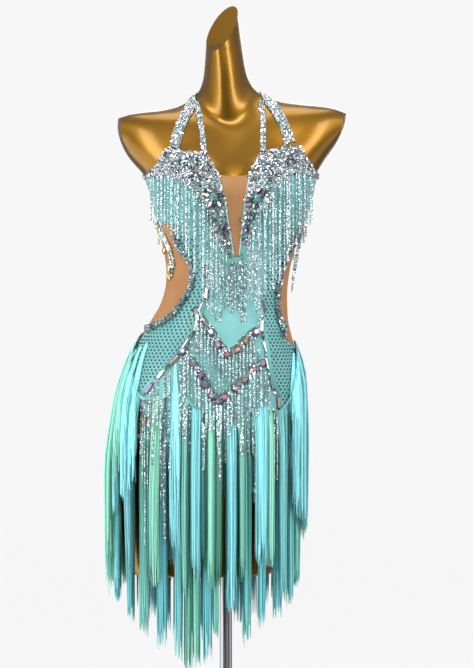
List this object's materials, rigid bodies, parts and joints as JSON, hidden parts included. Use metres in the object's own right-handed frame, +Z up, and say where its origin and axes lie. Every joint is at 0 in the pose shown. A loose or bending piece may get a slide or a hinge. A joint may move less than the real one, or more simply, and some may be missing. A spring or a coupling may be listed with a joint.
{
  "type": "latin dance dress on a gold dress form with pole stand",
  "caption": "Aqua halter-neck latin dance dress with crystal cups, cut-out waist and layered bead and thread fringe, on a limbless gold dress form and round pole stand.",
  "frame": {"origin": "centre of the stand base's underside, on the floor, under the pole's axis", "axes": "+Z up along the pole; the dress faces -Y; +X is on the right when it is seen from the front"},
  "size_m": [0.439, 0.34, 1.6575],
  "materials": {
    "gold_lacquer": "glossy gold lacquer",
    "chrome": "polished",
    "aqua_stretch": "satin stretch",
    "skin_net": "fine matt stretch net",
    "crystal_trim": "set all over with iridescent stones",
    "bead_fringe": "strung silver beads",
    "thread_fringe_under": "silky thread, mint",
    "thread_fringe_over": "silky thread, sky blue to mint"
  },
  "bodies": {
    "root": {"dress_form": "gold_lacquer", "stand_base": "chrome", "stand_pole": "chrome", "cup_left": "aqua_stretch", "cup_right": "aqua_stretch", "front_panel": "aqua_stretch", "hip_panel_left": "aqua_stretch", "hip_panel_right": "aqua_stretch", "back_panel": "aqua_stretch", "back_band": "aqua_stretch", "neckline_insert": "skin_net", "side_net_right": "skin_net", "side_net_left": "skin_net", "strap_outer_left": "crystal_trim", "strap_outer_right": "crystal_trim", "strap_inner_left": "crystal_trim", "strap_inner_right": "crystal_trim", "neck_band": "crystal_trim", "trim_left": "crystal_trim", "trim_right": "crystal_trim", "baguette_left": "crystal_trim", "baguette_right": "crystal_trim", "cup_fringe_left": "bead_fringe", "cup_fringe_right": "bead_fringe", "side_fringe_right": "bead_fringe", "side_fringe_left": "bead_fringe", "v_fringe_upper": "bead_fringe", "v_fringe_lower": "bead_fringe", "drop_fringe_left": "bead_fringe", "drop_fringe_right": "bead_fringe", "skirt_under_front": "thread_fringe_under", "skirt_under_back": "thread_fringe_under", "skirt_over_front": "thread_fringe_over", "skirt_over_back": "thread_fringe_over"}
  },
  "joints": []
}
